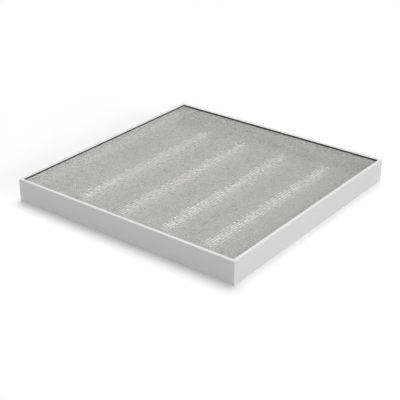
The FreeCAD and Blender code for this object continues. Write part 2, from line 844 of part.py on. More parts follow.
def make_connectors(doc):
    """The white wire connector at the near end of each board."""
    body = new_body(doc, "board_connectors")
    plan = new_sketch(body, "plan", "XY_Plane", board_top)
    for x in board_places:
        draw_rectangle(plan, x - size.connector_width / 2, x + size.connector_width / 2,
                       connector_front, connector_front + size.connector_length)
    add_pad(plan, size.connector_height)
    dress_edges(body, "Chamfer", size.screw_chamfer, at_level(board_top + size.connector_height))


# Driver.

def make_driver_tray(doc):
    """The driver's open tray, with circuit posts inside and a screw foot at each end."""
    body = new_body(doc, "driver_tray")
    front = channel_middle - size.driver_width / 2
    back = channel_middle + size.driver_width / 2
    block = new_sketch(body, "block", "XY_Plane", roof_under)
    draw_rectangle(block, driver_left, driver_right, front, back)
    add_pad(block, size.driver_height, reverse=True)
    dress_edges(body, "Fillet", size.driver_round, upright)
    wall = size.driver_wall
    hollow = new_sketch(body, "hollow", "XY_Plane", driver_bottom)
    draw_rectangle(hollow, driver_left + wall, driver_right - wall, front + wall, back - wall)
    add_pocket(hollow, size.driver_height - wall, reverse=True)
    feet = new_sketch(body, "feet", "XY_Plane", roof_under)
    foot_front = channel_middle - size.driver_foot_width / 2
    foot_back = channel_middle + size.driver_foot_width / 2
    draw_rectangle(feet, driver_left - size.driver_foot, driver_left + wall, foot_front, foot_back)
    draw_rectangle(feet, driver_right - wall, driver_right + size.driver_foot, foot_front, foot_back)
    add_pad(feet, wall, reverse=True)
    inset = size.circuit_post * 2
    post = new_sketch(body, "post", "XY_Plane", roof_under - wall)
    draw_polygon(post, driver_left + size.post_inset, front + inset, size.circuit_post,
                 SMALL_ROUND_SIDES)
    post_pad = add_pad(post, size.circuit_post, reverse=True)
    repeat(body, [post_pad], place_set(
        driver_left, front, ("X_Axis", size.driver_length - size.post_inset * 2, 2),
        ("Y_Axis", size.driver_width - inset * 2, 2)))
    add_holes(body, "screw_hole", roof_under, driver_screw_places(), screw_hole, wall,
              reverse=False)


def make_driver_cover(doc):
    """The driver's cover, with the rim that locates it in the tray."""
    body = new_body(doc, "driver_cover")
    front = channel_middle - size.driver_width / 2
    back = channel_middle + size.driver_width / 2
    plan = new_sketch(body, "plan", "XY_Plane", driver_bottom)
    draw_rectangle(plan, driver_left, driver_right, front, back)
    add_pad(plan, size.driver_lid, reverse=True)
    dress_edges(body, "Fillet", size.driver_round, upright)
    outer = size.driver_wall + size.circuit_clearance / 2
    inner = outer + size.driver_rim
    rim = new_sketch(body, "rim", "XY_Plane", driver_bottom)
    for inset in (outer, inner):
        draw_rectangle(rim, driver_left + inset, driver_right - inset, front + inset, back - inset)
    add_pad(rim, size.driver_rim)


def make_driver_circuit(doc):
    """The driver's circuit board, its transformer and its capacitors."""
    inset = size.driver_wall + size.circuit_clearance
    front = channel_middle - size.driver_width / 2 + inset
    low = circuit_level - size.circuit_thick
    add_box(doc, "driver_board", (driver_left + inset, front, low),
            (size.driver_length - inset * 2, size.driver_width - inset * 2, size.circuit_thick))
    body = new_body(doc, "driver_transformer")
    core = new_sketch(body, "core", "XY_Plane", low)
    length = size.transformer_length / 2
    width = size.transformer_width / 2
    draw_rectangle(core, driver_middle - length, driver_middle + length,
                   channel_middle - width, channel_middle + width)
    add_pad(core, size.transformer_height, reverse=True)
    dress_edges(body, "Chamfer", size.screw_chamfer, at_level(low - size.transformer_height))
    body = new_body(doc, "driver_capacitors")
    cans = new_sketch(body, "cans", "YZ_Plane", driver_right - size.capacitor_inset)
    for offset in spread(2, size.capacitor_pitch):
        draw_polygon(cans, channel_middle + offset, low - size.capacitor_radius,
                     size.capacitor_radius, ROUND_SIDES)
    add_pad(cans, size.capacitor_length, reverse=True)


# Terminal block.

def pole_places():
    """Offsets across the channel of the three poles."""
    return [channel_middle + offset for offset in spread(POLES, size.pole_pitch)]


def make_terminal_block(doc):
    """The three-pole block: wire ports in both ends, button pockets below and one screw hole."""
    body = new_body(doc, "terminal_block")
    front = channel_middle - terminal_width / 2
    back = channel_middle + terminal_width / 2
    block = new_sketch(body, "block", "XY_Plane", terminal_bottom)
    draw_rectangle(block, terminal_left, terminal_right, front, back)
    add_pad(block, size.terminal_height)
    dress_edges(body, "Chamfer", size.screw_chamfer, upright)
    pockets = new_sketch(body, "button_pockets", "XY_Plane", terminal_bottom)
    button = terminal_left + size.button_place
    margin = size.button_clearance
    for y in pole_places():
        draw_rectangle(pockets, button - margin, button + size.button_length + margin,
                       y - size.button_width / 2 - margin, y + size.button_width / 2 + margin)
    depth = size.button_height - size.button_proud + size.button_travel + margin
    add_pocket(pockets, depth, reverse=True)
    for name, end, reverse in (("left", terminal_left, True), ("right", terminal_right, False)):
        ports = new_sketch(body, "ports_" + name, "YZ_Plane", end)
        for y in pole_places():
            draw_polygon(ports, y, port_level, size.port_radius, SMALL_ROUND_SIDES)
        add_pocket(ports, size.port_depth, reverse=reverse)
    earth = new_sketch(body, "earth_port", "YZ_Plane", terminal_right)
    draw_polygon(earth, earth_line, earth_level, size.lead_radius + size.hole_clearance,
                 SMALL_ROUND_SIDES)
    add_pocket(earth, size.port_depth)
    add_holes(body, "screw_hole", terminal_bottom, terminal_screw_places(), screw_hole)


def make_release_button(doc, number, y):
    """One push button that opens a pole's clamp."""
    body = new_body(doc, "release_button_%d" % number)
    plan = new_sketch(body, "plan", "XY_Plane", terminal_bottom - size.button_proud)
    left = terminal_left + size.button_place
    draw_rectangle(plan, left, left + size.button_length,
                   y - size.button_width / 2, y + size.button_width / 2)
    add_pad(plan, size.button_height)
    dress_edges(body, "Chamfer", size.screw_chamfer, at_level(terminal_bottom - size.button_proud))


# Earth stud.

def make_earth(doc):
    """The earth stud on the channel roof with its ring lug and nut."""
    place = [place_set(earth_place, earth_line)]
    add_fasteners(doc, "earth_stud", place, roof_top, size.earth_radius * 2, size.channel_thick,
                  size.earth_radius, size.earth_length + size.channel_thick, head_up=True)
    lug = new_body(doc, "earth_lug")
    ring = new_sketch(lug, "ring", "XY_Plane", roof_under)
    draw_polygon(ring, earth_place, earth_line, size.lug_radius, SMALL_ROUND_SIDES)
    add_pad(ring, size.lug_thick, reverse=True)
    neck = new_sketch(lug, "neck", "XY_Plane", roof_under)
    draw_rectangle(neck, barrel_start - size.lug_thick, earth_place,
                   earth_line - size.barrel_radius, earth_line + size.barrel_radius)
    add_pad(neck, size.lug_thick, reverse=True)
    barrel = new_sketch(lug, "barrel", "YZ_Plane", barrel_start)
    draw_polygon(barrel, earth_line, earth_level, size.barrel_radius, SMALL_ROUND_SIDES)
    add_pad(barrel, size.barrel_length, reverse=True)
    add_holes(lug, "hole", roof_under, place, size.earth_radius, size.lug_thick, reverse=False)
    nut = new_body(doc, "earth_nut")
    hexagon = new_sketch(nut, "hexagon", "XY_Plane", roof_under - size.lug_thick)
    draw_polygon(hexagon, earth_place, earth_line, size.nut_flat, NUT_SIDES)
    add_pad(hexagon, size.nut_height, reverse=True)
    add_holes(nut, "thread", roof_under - size.lug_thick, place, size.earth_radius,
              size.nut_height, reverse=False)


# Grommets.

def make_grommet(doc, label, hole_radius, bore, sheet):
    """A rubber ring with a groove for the sheet's edge, about its own Z axis."""
    body = new_body(doc, label)
    outside = hole_radius + size.grommet_rim
    lip = size.grommet_lip
    for name, level, height, radius in (("outer_lip", -lip, lip, outside),
                                        ("groove", 0, sheet, hole_radius),
                                        ("inner_lip", sheet, lip, outside)):
        ring = new_sketch(body, name, "XY_Plane", level)
        draw_polygon(ring, 0, 0, radius * GROMMET_FIT, ROUND_SIDES)
        add_pad(ring, height)
    hole = new_sketch(body, "bore", "XY_Plane", -lip)
    draw_circles(hole, [(0, 0)], bore)
    add_pocket(hole, reverse=True)
    return body


def make_grommets(doc):
    """The supply cable's grommet in the back plate and the leads' grommet in the channel wall."""
    entry = make_grommet(doc, "cable_grommet", size.entry_radius, size.entry_bore,
                         size.plate_thick)
    entry.setExpression("Placement.Base.x", entry_place.formula)
    entry.setExpression("Placement.Base.y", channel_middle.formula)
    entry.setExpression("Placement.Base.z", plate_bottom.formula)
    leads = make_grommet(doc, "lead_grommet", size.lead_grommet_radius, size.lead_grommet_bore,
                         size.channel_thick)
    leads.Placement = FreeCAD.Placement(Vector(), FreeCAD.Rotation(Vector(1, 0, 0), -90))
    leads.setExpression("Placement.Base.x", lead_grommet_place.formula)
    leads.setExpression("Placement.Base.y", channel_inner_back.formula)
    leads.setExpression("Placement.Base.z", lead_level.formula)


# Leads and wires.

def route(points, bend):
    """Returns the points of a path whose corners are replaced by the chords of a bend."""
    path = [points[0]]
    for before, corner, after in zip(points, points[1:], points[2:]):
        into = (corner - before).normalize()
        out = (after - corner).normalize()
        turn = into.getAngle(out)
        shorter = min((corner - before).Length, (after - corner).Length)
        back_off = min(bend * math.tan(turn / 2), shorter * BEND_SHARE)
        radius = back_off / math.tan(turn / 2)
        centre = corner + (out - into).normalize() * (radius / math.cos(turn / 2))
        axis = into.cross(out)
        start = corner - into * back_off - centre
        for chord in range(BEND_CHORDS + 1):
            step = FreeCAD.Rotation(axis, math.degrees(turn * chord / BEND_CHORDS))
            path.append(centre + step.multVec(start))
    return path + [points[-1]]


def pull_wire(points, radius, bend):
    """Returns the solid of a wire along the points, and proves its volume."""
    path = Part.makePolygon(route(points, bend))
    ahead = (points[1] - points[0]).normalize()
    corner = ahead.cross(Vector(0, 0, 1)).normalize() * radius
    turns = [360 * side / SMALL_ROUND_SIDES for side in range(SMALL_ROUND_SIDES + 1)]
    section = Part.makePolygon([points[0] + FreeCAD.Rotation(ahead, turn).multVec(corner)
                                for turn in turns])
    wire = path.makePipeShell([section], True, False, MITRED)
    area = SMALL_ROUND_SIDES * math.sin(2 * math.pi / SMALL_ROUND_SIDES) / 2 * radius ** 2
    expected = area * path.Length
    if abs(wire.Volume - expected) > expected * VOLUME_SHARE:
        raise RuntimeError("a wire's volume is wrong")
    return wire


def add_wires(doc, label, wires):
    """Puts one or more wires into the document as one sub-part."""
    feature = doc.addObject("Part::Feature", label)
    feature.Label = label
    feature.Shape = wires[0] if len(wires) == 1 else Part.makeCompound(wires)
    feature.Placement = FreeCAD.Placement()


def point(x, y, z):
    """Returns a point from three sizes."""
    return Vector(as_size(x).value, as_size(y).value, as_size(z).value)


def make_input_leads(doc):
    """The leads from the driver to the three poles of the terminal block."""
    wires = []
    for offset, pole in zip(spread(POLES, size.lead_pitch), pole_places()):
        y = channel_middle + offset
        wires.append(pull_wire([
            point(driver_right, y, lead_level),
            point(driver_right + size.lead_straight, y, lead_level),
            point(terminal_left - size.lead_straight, pole, port_level),
            point(terminal_left + size.port_depth, pole, port_level),
        ], size.lead_radius.value, size.lead_straight.value))
    add_wires(doc, "input_leads", wires)


def make_earth_lead(doc):
    """The straight lead from the ring lug's barrel into the block's earth port."""
    port_end = terminal_right - size.port_depth
    add_wires(doc, "earth_lead", [pull_wire([
        point(barrel_end, earth_line, earth_level),
        point(port_end, earth_line, earth_level),
    ], size.lead_radius.value, size.lead_straight.value)])


def make_output_leads(doc):
    """The two wires from the driver through the channel wall to the first board."""
    wires = []
    for side in (1, -1):
        x = lead_grommet_place + size.wire_pitch / 2 * side
        y = channel_middle + size.wire_pitch / 2 * side
        wires.append(pull_wire([
            point(driver_left, y, lead_level),
            point(x, y, lead_level),
            point(x, channel_back + size.wire_bend, lead_level),
            point(x, connector_front - size.wire_bend, wire_level),
            point(x, connector_front, wire_level),
        ], size.wire_radius.value, size.wire_bend.value))
    add_wires(doc, "output_leads", wires)


def make_jumpers(doc):
    """The pairs of wires from each board's connector to the next, one loop inside the other."""
    wires = []
    for left, right in zip(board_places, board_places[1:]):
        for contact, depth in ((size.wire_pitch * 1.5, size.jumper_near),
                               (size.wire_pitch / 2, size.jumper_near + size.jumper_step)):
            wires.append(pull_wire([
                point(left + contact, connector_front, wire_level),
                point(left + contact, connector_front - depth, wire_level),
                point(right - contact, connector_front - depth, wire_level),
                point(right - contact, connector_front, wire_level),
            ], size.wire_radius.value, size.wire_bend.value))
    add_wires(doc, "board_jumpers", wires)


# Hanger brackets.

def make_hanger(doc, number, turn):
    """One folded bracket: a foot on the back plate, a step down and a tab with the wire's hole."""
    body = new_body(doc, "hanger_bracket_%d" % number)
    place = size.hanger_inset - half
    step = place + size.hanger_foot / 2
    bottom = plate_bottom - size.hanger_drop
    thick = size.hanger_thick
    section = new_sketch(body, "section", "XZ_Plane", -place)
    draw_outline(section, [
        (place - size.hanger_foot / 2, plate_bottom),
        (place - size.hanger_foot / 2, plate_bottom - thick),
        (step - thick, plate_bottom - thick),
        (step - thick, bottom),
        (step + size.hanger_tab, bottom),
        (step + size.hanger_tab, bottom + thick),
        (step, bottom + thick),
        (step, plate_bottom),
    ])
    add_pad(section, size.hanger_width, both_ways=True)
    add_holes(body, "rivet_hole", plate_bottom, [place_set(place, place)], rivet_hole, thick,
              reverse=False)
    hole = new_sketch(body, "wire_hole", "XY_Plane", bottom)
    draw_circles(hole, [(step + size.hanger_tab / 2, place)], size.hanger_hole_radius)
    add_pocket(hole, thick, reverse=True)
    body.Placement = FreeCAD.Placement(Vector(), FreeCAD.Rotation(Vector(0, 0, 1), turn))


# The whole light.

def make_all_fasteners(doc):
    """All screws and rivets, one node for each kind and place."""
    head = (size.screw_head_radius, size.screw_head_height, size.screw_radius)
    rivet = (size.rivet_head_radius, size.rivet_head_height, size.rivet_radius)
    plate_grip = size.plate_thick + size.ledge_thick + size.screw_tip
    add_fasteners(doc, "back_plate_screws", plate_screw_places(), plate_bottom,
                  *head, plate_grip)
    add_fasteners(doc, "corner_key_screws", key_screw_places(), slot_bottom - size.ledge_thick,
                  *head, size.ledge_thick + size.key_screw_depth)
    add_fasteners(doc, "channel_screws", channel_screw_places(), plate_bottom,
                  *head, size.plate_thick + size.channel_thick + size.screw_tip)
    add_fasteners(doc, "driver_screws", driver_screw_places(), roof_under - size.driver_wall,
                  *head, size.driver_wall + size.channel_thick + size.screw_tip)
    add_fasteners(doc, "terminal_screw", terminal_screw_places(), terminal_bottom,
                  *head, size.terminal_height + size.channel_thick + size.screw_tip)
    add_fasteners(doc, "board_rivets", board_rivet_places(), board_top,
                  *rivet, size.board_thick + size.plate_thick + size.rivet_tail, head_up=True)
    add_fasteners(doc, "hanger_rivets", hanger_rivet_places(), plate_bottom - size.hanger_thick,
                  *rivet, size.hanger_thick + size.plate_thick + size.rivet_tail)
    add_fasteners(doc, "hinge_rivets", leaf_rivet_places(), plate_bottom - size.leaf_thick,
                  *rivet, size.leaf_thick + size.plate_thick + size.rivet_tail)


def build_light(doc):
    """Makes every sub-part of the light."""
    for number, (side, turn) in enumerate(RAIL_TURNS.items(), start=1):
        make_rail(doc, side, turn)
        make_corner_key(doc, number, turn)
        make_gasket(doc, side, turn)
        make_hanger(doc, number, turn)
    make_diffuser(doc)
    make_back_plate(doc)
    make_gear_channel(doc)
    make_gear_cover(doc)
    for side, hinge in zip(("left", "right"), hinge_places):
        make_hinge_leaf(doc, side, hinge)
        make_hinge_pin(doc, side, hinge)
    for number, x in enumerate(board_places, start=1):
        make_board(doc, number, x)
        make_emitters(doc, number, x)
    make_connectors(doc)
    make_driver_tray(doc)
    make_driver_cover(doc)
    make_driver_circuit(doc)
    make_terminal_block(doc)
    for number, y in enumerate(pole_places(), start=1):
        make_release_button(doc, number, y)
    make_earth(doc)
    make_grommets(doc)
    make_all_fasteners(doc)
    make_input_leads(doc)
    make_earth_lead(doc)
    make_output_leads(doc)
    make_jumpers(doc)


def fill_sheet(doc):
    """Writes the driving dimensions into the document's sheet."""
    sheet = doc.addObject("Spreadsheet::Sheet", "Sizes")
    for row, (name, value) in enumerate(SIZES.items(), start=1):
        cell = "A%d" % row
        sheet.set(cell, str(value))
        sheet.setAlias(cell, name)
    doc.recompute()


def sub_parts(doc):
    """Returns the objects that are sub-parts: the bodies, the blocks and the wires."""
    kinds = ("PartDesign::Body", "Part::Box", "Part::Feature")
    return [item for item in doc.Objects if item.TypeId in kinds]


def check_document(doc):
    """Stops if an object failed or a sub-part has no valid solid."""
    for item in doc.Objects:
        if "Invalid" in item.State or "Error" in item.State:
            raise RuntimeError(item.Name + " failed")
    for item in sub_parts(doc):
        if item.Shape.isNull() or not item.Shape.isValid() or not item.Shape.Solids:
            raise RuntimeError(item.Label + " has no valid solid")


def main():
    doc = FreeCAD.newDocument("recessed_light")
    fill_sheet(doc)
    build_light(doc)
    doc.recompute()
    check_document(doc)
    os.makedirs("parts", exist_ok=True)
    for item in sub_parts(doc):
        item.Shape.exportStep("parts/%s.step" % item.Label)


main()
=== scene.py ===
"""A square recessed ceiling light with a prismatic sheet, dressed over its solids."""

import json
import math
import random

import bmesh
import bpy
from mathutils import Matrix, Vector


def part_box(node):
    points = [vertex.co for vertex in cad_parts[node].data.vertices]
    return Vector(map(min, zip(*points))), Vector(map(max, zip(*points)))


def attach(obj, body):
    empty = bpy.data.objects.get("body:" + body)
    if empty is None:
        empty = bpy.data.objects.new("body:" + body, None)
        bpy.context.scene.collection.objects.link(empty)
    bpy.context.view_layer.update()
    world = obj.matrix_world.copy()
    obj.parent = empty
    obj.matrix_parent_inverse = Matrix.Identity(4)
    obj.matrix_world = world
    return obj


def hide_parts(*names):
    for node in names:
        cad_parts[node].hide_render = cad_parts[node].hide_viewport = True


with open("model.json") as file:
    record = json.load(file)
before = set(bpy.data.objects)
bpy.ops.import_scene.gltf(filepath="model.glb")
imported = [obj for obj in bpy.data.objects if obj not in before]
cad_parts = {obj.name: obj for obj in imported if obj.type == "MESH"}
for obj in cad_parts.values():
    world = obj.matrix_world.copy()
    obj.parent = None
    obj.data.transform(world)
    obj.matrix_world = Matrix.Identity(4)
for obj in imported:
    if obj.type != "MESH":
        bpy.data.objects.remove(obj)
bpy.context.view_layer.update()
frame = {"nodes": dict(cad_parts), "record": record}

MM = 0.001
HALF = 297.5  # half the side of the square
SIDES = ("front", "right", "back", "left")

# Camera, fitted to the corners of the object in the photograph.
CAMERA_PLACE = Vector((1204.77, -1592.68, 988.75)) * MM
CAMERA_TARGET = Vector((22.08, -46.35, 0.0)) * MM
CAMERA_ROLL = math.radians(0.17)
CAMERA_LENS = 86.37
SENSOR = 36.0
CAMERA_FAR = 200.0

# Light. In low views the flat sheet would mirror the two low suns as white glare, so those two are
# left out of reflections.
AMBIENT = 0.312
SUNS = (
    # name, azimuth and elevation it comes from, spread, strength, mirrored
    ("key", 90, 70, 40, 1.125, True),
    ("back", 135, 60, 40, 0.696, True),
    ("side", 0, 15, 20, 0.700, False),
    ("fill", 315, 18, 40, 0.450, False),
)
UNDER_STRENGTH = 2.0

# The camera sees a paler floor than the one that throws light back on the object.
FLOOR_ALBEDO = 0.6
FLOOR_SEEN = 1.06
FLOOR_REACH = 40.0


# Meshes.

def new_piece(name, vertices, faces, material, body, smooth_angle=30):
    """Makes a mesh from points in millimetres and lets it ride on a body."""
    mesh = bpy.data.meshes.new(name)
    mesh.from_pydata([Vector(v) * MM for v in vertices], [], faces)
    mesh.validate()
    mesh.update()
    piece = bpy.data.objects.new(name, mesh)
    bpy.context.scene.collection.objects.link(piece)
    mesh.materials.append(material)
    if smooth_angle:
        mesh.shade_smooth()
        mesh.set_sharp_from_angle(angle=math.radians(smooth_angle))
    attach(piece, body)
    return piece


def round_outline(corners, steps=4):
    """Rounds each corner (x, y, radius) of a closed outline whose corners are right angles."""
    points = []
    count = len(corners)
    for index, (x, y, radius) in enumerate(corners):
        here = Vector((x, y))
        before = (Vector(corners[index - 1][:2]) - here).normalized()
        after = (Vector(corners[(index + 1) % count][:2]) - here).normalized()
        if radius == 0:
            points.append(here)
            continue
        centre = here + (before + after) * radius
        for step in range(steps + 1):
            turn = math.pi / 2 * step / steps
            points.append(centre - after * radius * math.cos(turn)
                          - before * radius * math.sin(turn))
    return points


def skin(rings, closed=False):
    """Joins rings of equally many points; a ring of one point is a tip."""
    vertices, faces, numbers = [], [], []
    for ring in rings:
        numbers.append(list(range(len(vertices), len(vertices) + len(ring))))
        vertices += [tuple(point) for point in ring]
    pairs = list(zip(numbers, numbers[1:])) + ([(numbers[-1], numbers[0])] if closed else [])
    for low, high in pairs:
        for side in range(max(len(low), len(high))):
            following = side + 1
            corners = [low[side % len(low)], low[following % len(low)],
                       high[following % len(high)], high[side % len(high)]]
            faces.append(tuple(dict.fromkeys(corners)))
    return vertices, faces


def circle(radius, level, directions):
    """A ring of points, one in each direction."""
    return [(*(direction * radius), level) for direction in directions]


def directions_round(sides):
    """Unit vectors, evenly spaced round a circle."""
    return [Vector((math.cos(2 * math.pi * side / sides), math.sin(2 * math.pi * side / sides)))
            for side in range(sides)]


def repeated(vertices, faces, places):
    """Copies a mesh by each matrix."""
    all_vertices, all_faces = [], []
    for place in places:
        first = len(all_vertices)
        all_vertices += [tuple(place @ Vector(vertex)) for vertex in vertices]
        all_faces += [tuple(first + index for index in face) for face in faces]
    return all_vertices, all_faces


def face_outward(piece):
    """Turns every face of a closed mesh outward."""
    work = bmesh.new()
    work.from_mesh(piece.data)
    bmesh.ops.recalc_face_normals(work, faces=work.faces)
    work.to_mesh(piece.data)
    work.free()


def stand_for(piece, *nodes):
    """Hides the nodes that a piece stands in for."""
    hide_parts(*nodes)


def solids_of(node):
    """Gives the lowest and highest corner, in millimetres, of each separate solid of a CAD node."""
    work = bmesh.new()
    work.from_mesh(frame["nodes"][node].data)
    bmesh.ops.remove_doubles(work, verts=work.verts, dist=1e-6)
    found = set()
    boxes = []
    for start in work.verts:
        if start in found:
            continue
        found.add(start)
        island, queue = [start], [start]
        while queue:
            for edge in queue.pop().link_edges:
                for vertex in edge.verts:
                    if vertex not in found:
                        found.add(vertex)
                        island.append(vertex)
                        queue.append(vertex)
        low = Vector([min(v.co[axis] for v in island) for axis in range(3)]) / MM
        high = Vector([max(v.co[axis] for v in island) for axis in range(3)]) / MM
        boxes.append((low, high))
    work.free()
    return boxes


# Materials.

BROAD_SHARE = 40  # slight changes of tone are this many times as wide as the grain
ROUGHNESS_CHANGE = 0.05
ACRYLIC_INDEX = 1.49
ACRYLIC_GRAIN = 900.0
ACRYLIC_DEPTH = 0.00001
ACRYLIC_TINT = 0.99


def new_material(name, colour, roughness, metallic=0.0):
    """Gives a new material with its nodes, links and shader."""
    material = bpy.data.materials.new(name)
    material.use_nodes = True
    shader = material.node_tree.nodes["Principled BSDF"]
    shader.inputs["Base Color"].default_value = (*colour, 1)
    shader.inputs["Roughness"].default_value = roughness
    shader.inputs["Metallic"].default_value = metallic
    return material, material.node_tree.nodes, material.node_tree.links, shader


def add_noise(nodes, links, scale, detail=4.0):
    """Noise that stays with the object."""
    where = nodes.new("ShaderNodeTexCoord")
    noise = nodes.new("ShaderNodeTexNoise")
    noise.inputs["Scale"].default_value = scale
    noise.inputs["Detail"].default_value = detail
    links.new(where.outputs["Object"], noise.inputs["Vector"])
    return noise.outputs["Fac"]


def add_range(nodes, links, source, low, high):
    """Spreads a source from 0 to 1 over a range."""
    change = nodes.new("ShaderNodeMapRange")
    change.inputs["To Min"].default_value = low
    change.inputs["To Max"].default_value = high
    links.new(source, change.inputs["Value"])
    return change.outputs["Result"]


def vary_colour(nodes, links, shader, colour, source, amount):
    """Darkens and lightens a colour by a share, following the source."""
    mix = nodes.new("ShaderNodeMix")
    mix.data_type = "RGBA"
    mix.inputs["A"].default_value = (*[part * (1 - amount) for part in colour], 1)
    mix.inputs["B"].default_value = (*[min(1, part * (1 + amount)) for part in colour], 1)
    links.new(source, mix.inputs["Factor"])
    links.new(mix.outputs["Result"], shader.inputs["Base Color"])


def add_bump(nodes, links, shader, source, distance):
    """Gives a surface a relief of this depth in metres, following the source."""
    bump = nodes.new("ShaderNodeBump")
    bump.inputs["Strength"].default_value = 1.0
    bump.inputs["Distance"].default_value = distance
    links.new(source, bump.inputs["Height"])
    links.new(bump.outputs["Normal"], shader.inputs["Normal"])


def grained(name, colour, roughness, grain, depth, metallic=0.0, colour_change=0.02):
    """A surface with a fine grain: bump, slight changes of colour and of roughness."""
    material, nodes, links, shader = new_material(name, colour, roughness, metallic)
    fine = add_noise(nodes, links, grain)
    broad = add_noise(nodes, links, grain / BROAD_SHARE, 2.0)
    vary_colour(nodes, links, shader, colour, broad, colour_change)
    links.new(add_range(nodes, links, broad, roughness - ROUGHNESS_CHANGE,
                        roughness + ROUGHNESS_CHANGE), shader.inputs["Roughness"])
    add_bump(nodes, links, shader, fine, depth)
    return material


def let_through(nodes, links, shader, share, tint=1.0):
    """Mixes a surface with clear, by a share that is 1 where it is clear."""
    clear = nodes.new("ShaderNodeBsdfTransparent")
    clear.inputs["Color"].default_value = (tint, tint, tint, 1)
    mix = nodes.new("ShaderNodeMixShader")
    links.new(share, mix.inputs["Fac"])
    links.new(shader.outputs["BSDF"], mix.inputs[1])
    links.new(clear.outputs["BSDF"], mix.inputs[2])
    links.new(mix.outputs["Shader"], nodes["Material Output"].inputs["Surface"])


def prismatic(name, colour, roughness, clearness):
    """Acrylic, clear or satin, that lets the lamps' light through."""
    material, nodes, links, shader = new_material(name, colour, roughness)
    shader.inputs["Transmission Weight"].default_value = clearness
    shader.inputs["IOR"].default_value = ACRYLIC_INDEX
    fine = add_noise(nodes, links, ACRYLIC_GRAIN)
    add_bump(nodes, links, shader, fine, ACRYLIC_DEPTH)
    path = nodes.new("ShaderNodeLightPath")
    let_through(nodes, links, shader, path.outputs["Is Shadow Ray"], ACRYLIC_TINT)
    return material


# colour, roughness, fineness of the grain, and its depth in metres
MATERIALS = {
    "rail_paint": grained("rail_paint", (0.86, 0.86, 0.86), 0.42, 1800.0, 0.00001),
    # the back plate's grey is painted shade: it stands in for the dimness inside the closed box,
    # since the sheet lets the lamps' light in freely
    "plate_paint": grained("plate_paint", (0.38, 0.38, 0.375), 0.5, 1500.0, 0.00004,
                           colour_change=0.04),
    # black foam of the gasket strips; its black also paints the shadow in the gap under the lip
    "black_foam": grained("black_foam", (0.022, 0.022, 0.022), 0.9, 2500.0, 0.0002),
    "key_alloy": grained("key_alloy", (0.60, 0.61, 0.62), 0.4, 1200.0, 0.00005, metallic=1.0),
    "prismatic_acrylic": prismatic("prismatic_acrylic", (0.98, 0.98, 0.98), 0.01, 1.0),
    "satin_facet": prismatic("satin_facet", (0.48, 0.48, 0.47), 0.6, 0.0),
    "board_mask": grained("board_mask", (0.90, 0.90, 0.88), 0.35, 900.0, 0.00001),
    "package_white": grained("package_white", (0.85, 0.85, 0.82), 0.4, 2500.0, 0.00001),
    "led_phosphor": grained("led_phosphor", (0.86, 0.70, 0.26), 0.5, 2500.0, 0.00002),
    "white_nylon": grained("white_nylon", (0.84, 0.84, 0.80), 0.45, 900.0, 0.00003),
    "driver_plastic": grained("driver_plastic", (0.78, 0.78, 0.76), 0.5, 1200.0, 0.00005),
    "circuit_laminate": grained("circuit_laminate", (0.03, 0.16, 0.06), 0.35, 700.0, 0.00001),
    "ferrite": grained("ferrite", (0.02, 0.02, 0.022), 0.6, 1500.0, 0.00005),
    "capacitor_sleeve": grained("capacitor_sleeve", (0.02, 0.02, 0.025), 0.3, 500.0, 0.00001),
    "terminal_plastic": grained("terminal_plastic", (0.62, 0.62, 0.60), 0.5, 1200.0, 0.00004),
    "button_plastic": grained("button_plastic", (0.80, 0.24, 0.03), 0.45, 1200.0, 0.00004),
    "tinned_copper": grained("tinned_copper", (0.66, 0.64, 0.60), 0.35, 1200.0, 0.00002,
                             metallic=1.0),
    "zinc_steel": grained("zinc_steel", (0.62, 0.63, 0.64), 0.33, 1500.0, 0.00002, metallic=1.0,
                          colour_change=0.06),
    "black_rubber": grained("black_rubber", (0.025, 0.025, 0.025), 0.7, 1500.0, 0.00004),
    "lead_insulation": grained("lead_insulation", (0.80, 0.80, 0.78), 0.4, 900.0, 0.00002),
    "earth_insulation": grained("earth_insulation", (0.12, 0.33, 0.05), 0.4, 900.0, 0.00002),
    "wire_insulation": grained("wire_insulation", (0.82, 0.82, 0.80), 0.4, 900.0, 0.00002),
}

SLOT_OF = {part["node"]: part["material_slot"] for part in frame["record"]["subparts"]}
for node, thing in frame["nodes"].items():
    thing.data.materials.clear()
    thing.data.materials.append(MATERIALS[SLOT_OF[node]])


# Side rails, with soft edges and a hairline at each mitre.

# inward, level, radius of the corner
RAIL_SECTION = [
    (0, 0, 0.3), (0, 54.0, 0.45), (7.2, 54.0, 0.3), (7.2, 53.0, 0.25), (1.4, 53.0, 0.3),
    (1.4, 48.0, 0.3), (9.2, 48.0, 0.25), (9.2, 44.3, 0.2), (8.0, 44.3, 0.2), (8.0, 46.8, 0.2),
    (1.4, 46.8, 0.3), (1.4, 35.8, 0.3), (8.0, 35.8, 0.2), (8.0, 38.3, 0.2), (9.2, 38.3, 0.2),
    (9.2, 34.6, 0.25), (1.4, 34.6, 0.3), (1.4, 11.7, 0.3), (9.2, 11.7, 0.25), (9.2, 10.5, 0.25),
    (1.4, 10.5, 0.3), (1.4, 2.0, 0.2), (2.0, 2.0, 0.2), (2.0, 0, 0.2),
]
MITRE_GAP = 0.02  # at each rail's end


def make_rails():
    """One rail for each side, its section swept between two mitres."""
    outline = round_outline(RAIL_SECTION)
    count = len(outline)
    for number, side in enumerate(SIDES):
        turn = Matrix.Rotation(math.radians(90 * number), 3, "Z")
        vertices = []
        for end in (-1, 1):
            for inward, level in outline:
                reach = HALF - inward - MITRE_GAP
                vertices.append(turn @ Vector((end * reach, inward - HALF, level)))
        faces = [(index, (index + 1) % count, count + (index + 1) % count, count + index)
                 for index in range(count)]
        faces += [tuple(reversed(range(count))), tuple(range(count, 2 * count))]
        rail = new_piece("frame_rail_" + side, vertices, faces, MATERIALS["rail_paint"], "housing")
        stand_for(rail, "rail_" + side)


# Prismatic sheet.

SHEET_TOP = 50.0
PRISM_BASE = 49.1
PRISM_TIP = 48.45
PRISM_PITCH = 6.5
TIP_SIDES = (3.9, 5.0)  # least and greatest
TIP_SLOPE = math.radians(3)
TIP_TILT = math.radians(2.5)
SHEET_SEED = 4


